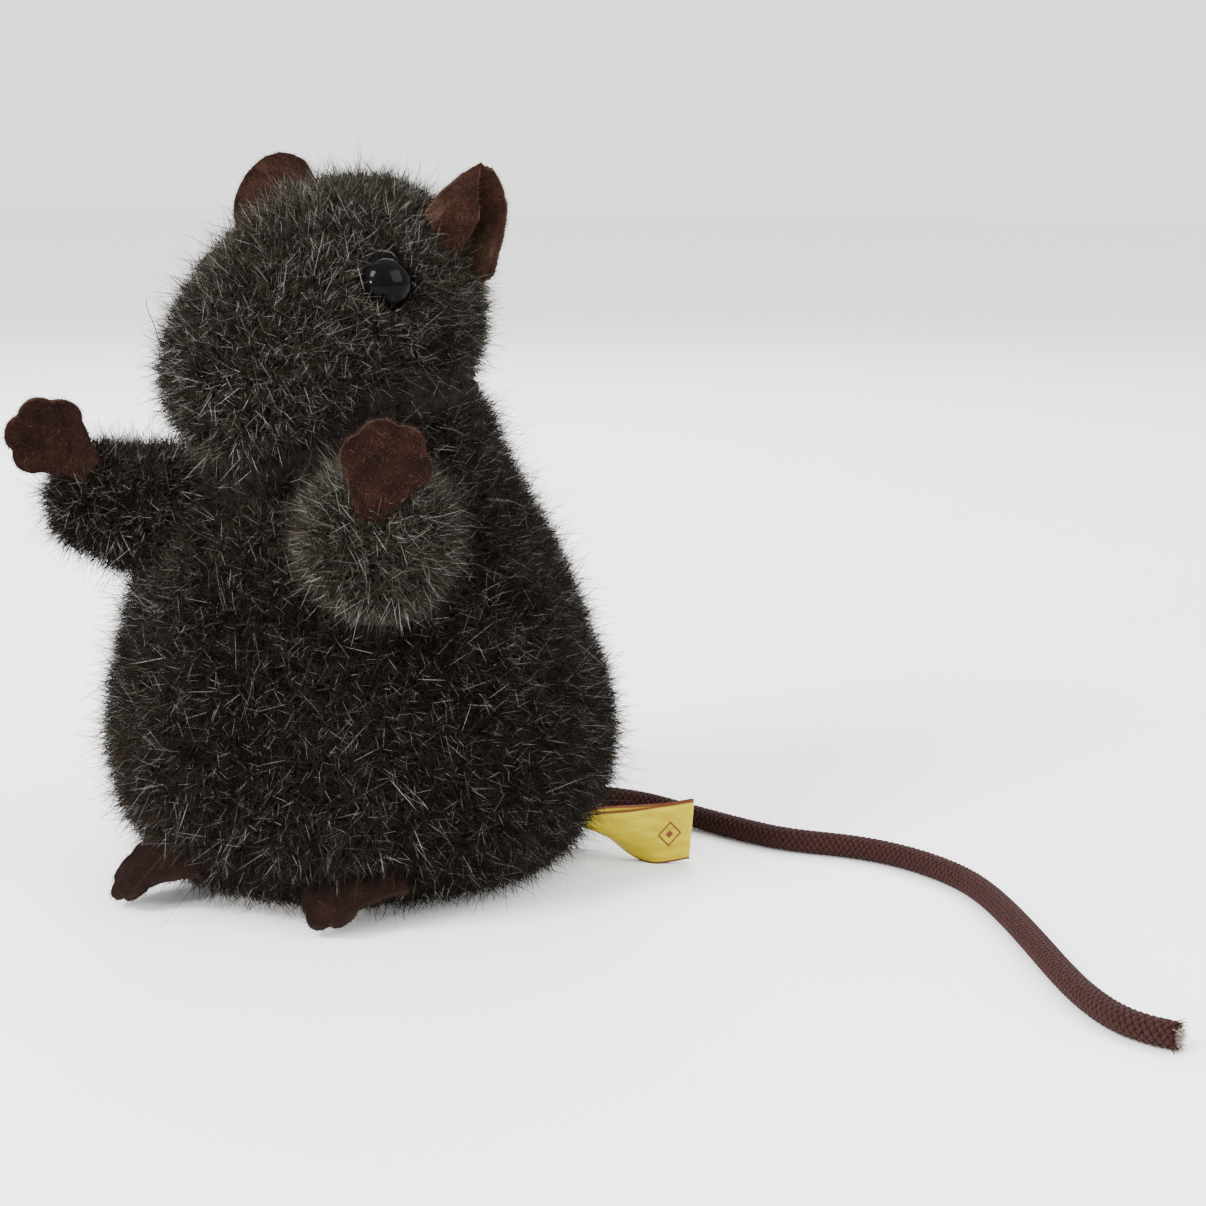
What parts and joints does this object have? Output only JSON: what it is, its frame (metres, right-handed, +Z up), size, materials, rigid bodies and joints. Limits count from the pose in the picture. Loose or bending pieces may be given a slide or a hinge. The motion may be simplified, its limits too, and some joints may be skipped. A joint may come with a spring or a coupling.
{
  "type": "clockwork mouse",
  "caption": "Plush clockwork mouse with felt ears, hands and feet, glass eyes, a braided cord tail and a wind-up drive in its base.",
  "frame": {"origin": "middle of the footprint without the tail, on the floor that the mouse stands on", "axes": "+Z up, -Y the way the mouse faces, +X its left side"},
  "size_m": [0.233, 0.1094, 0.1361],
  "materials": {
    "body_pile": "short curly pile, dark brown-grey tipped with silver",
    "head_pile": "short combed pile, olive-grey tipped with silver",
    "arm_pile": "short curly pile, brown-grey",
    "wadding": "dark grey recycled fibre",
    "hand_felt": "matt felt, worn at the rim",
    "foot_felt": "matt felt",
    "ear_felt": "matt felt, paler at the fold",
    "eye_glass": "high gloss black",
    "washer_plastic": "matt",
    "whisker_nylon": "semi-gloss",
    "tail_braid": "round herringbone braid",
    "tail_core": "crimped fibre bundle",
    "label_ribbon": null,
    "tinplate": "bright rolled",
    "card": "matt",
    "frame_brass": "satin",
    "frame_steel": "satin",
    "screw_steel": "bright",
    "wheel_brass": "satin",
    "arbor_steel": "ground",
    "wheel_red": "gloss",
    "tyre_rubber": "matt",
    "roller_wood": "plain turned",
    "spring_steel": "blued",
    "ratchet_steel": "ground",
    "key_brass": "stamped, satin"
  },
  "bodies": {
    "mouse": {"base_plate": "tinplate", "body_skin": "body_pile", "body_stuffing": "wadding", "front_base_screw": "screw_steel", "front_bracket": "frame_steel", "front_pillar": "frame_steel", "head_skin": "head_pile", "head_stuffing": "wadding", "label_ribbon": "label_ribbon", "left_ear": "ear_felt", "left_eye": "eye_glass", "left_eye_washer": "washer_plastic", "left_foot": "foot_felt", "left_side_plate": "frame_brass", "lower_pillar": "frame_steel", "mainspring": "spring_steel", "motor_cover": "card", "rear_base_screw": "screw_steel", "rear_bracket": "frame_steel", "rear_pillar": "frame_steel", "right_ear": "ear_felt", "right_eye": "eye_glass", "right_eye_washer": "washer_plastic", "right_foot": "foot_felt", "right_side_plate": "frame_brass", "right_whisker": "whisker_nylon", "roller_fork": "tinplate", "roller_pin": "arbor_steel", "tail_anchor": "tail_core", "tail_cord": "tail_braid"},
    "great_wheel": {"great_wheel": "wheel_brass", "click_spring": "spring_steel"},
    "click": {"click": "ratchet_steel"},
    "key": {"key": "key_brass", "winding_arbor": "arbor_steel", "ratchet_wheel": "ratchet_steel"},
    "second_wheel": {"second_arbor": "arbor_steel", "second_wheel": "wheel_brass"},
    "drive_axle": {"drive_axle": "arbor_steel", "third_wheel": "wheel_brass", "left_wheel_hub": "wheel_red", "right_wheel_hub": "wheel_red", "left_tyre": "tyre_rubber", "right_tyre": "tyre_rubber"},
    "governor": {"governor_arbor": "arbor_steel", "governor_fly": "wheel_brass"},
    "front_roller": {"front_roller": "roller_wood"},
    "left_arm": {"left_arm_skin": "arm_pile", "left_arm_stuffing": "wadding", "left_hand": "hand_felt"},
    "right_arm": {"right_arm_skin": "arm_pile", "right_arm_stuffing": "wadding", "right_hand": "hand_felt"}
  },
  "joints": [
    {"name": "drive_axle_turn", "type": "hinge", "parent": "mouse", "child": "drive_axle", "pos_m": [0.00606, 0.01424, 0.00863], "axis": [1, 0, 0], "continuous": true},
    {"name": "main_wheel_turn", "type": "hinge", "parent": "mouse", "child": "great_wheel", "pos_m": [0.00606, 0.01637, 0.032], "axis": [1, 0, 0], "continuous": true},
    {"name": "second_wheel_turn", "type": "hinge", "parent": "mouse", "child": "second_wheel", "pos_m": [0.00606, 0.00775, 0.01689], "axis": [1, 0, 0], "continuous": true},
    {"name": "governor_turn", "type": "hinge", "parent": "mouse", "child": "governor", "pos_m": [0.00606, 0.0216, 0.01177], "axis": [1, 0, 0], "continuous": true},
    {"name": "key_turn", "type": "hinge", "parent": "great_wheel", "child": "key", "pos_m": [0.00606, 0.01637, 0.032], "axis": [1, 0, 0], "continuous": true},
    {"name": "click_lift", "type": "hinge", "parent": "great_wheel", "child": "click", "pos_m": [0.00606, 0.01787, 0.0412], "axis": [-1, 0, 0], "range_deg": [0, 14], "stiffness_Nm_per_rad": 0.0004},
    {"name": "front_roller_turn", "type": "hinge", "parent": "mouse", "child": "front_roller", "pos_m": [0.00606, -0.02163, 0.0065], "axis": [1, 0, 0], "continuous": true},
    {"name": "left_arm_swing", "type": "hinge", "parent": "mouse", "child": "left_arm", "pos_m": [0.033, -0.02652, 0.071], "axis": [-0.7314, -0.682, 0], "range_deg": [-12, 20], "stiffness_Nm_per_rad": 0.06},
    {"name": "right_arm_swing", "type": "hinge", "parent": "mouse", "child": "right_arm", "pos_m": [-0.02088, -0.02652, 0.071], "axis": [-0.7314, 0.682, 0], "range_deg": [-12, 20], "stiffness_Nm_per_rad": 0.06}
  ],
  "couplings": [
    {"joint": "main_wheel_turn", "follows": "drive_axle_turn", "ratio": 0.083333},
    {"joint": "second_wheel_turn", "follows": "drive_axle_turn", "ratio": -0.4},
    {"joint": "governor_turn", "follows": "drive_axle_turn", "ratio": -3}
  ]
}
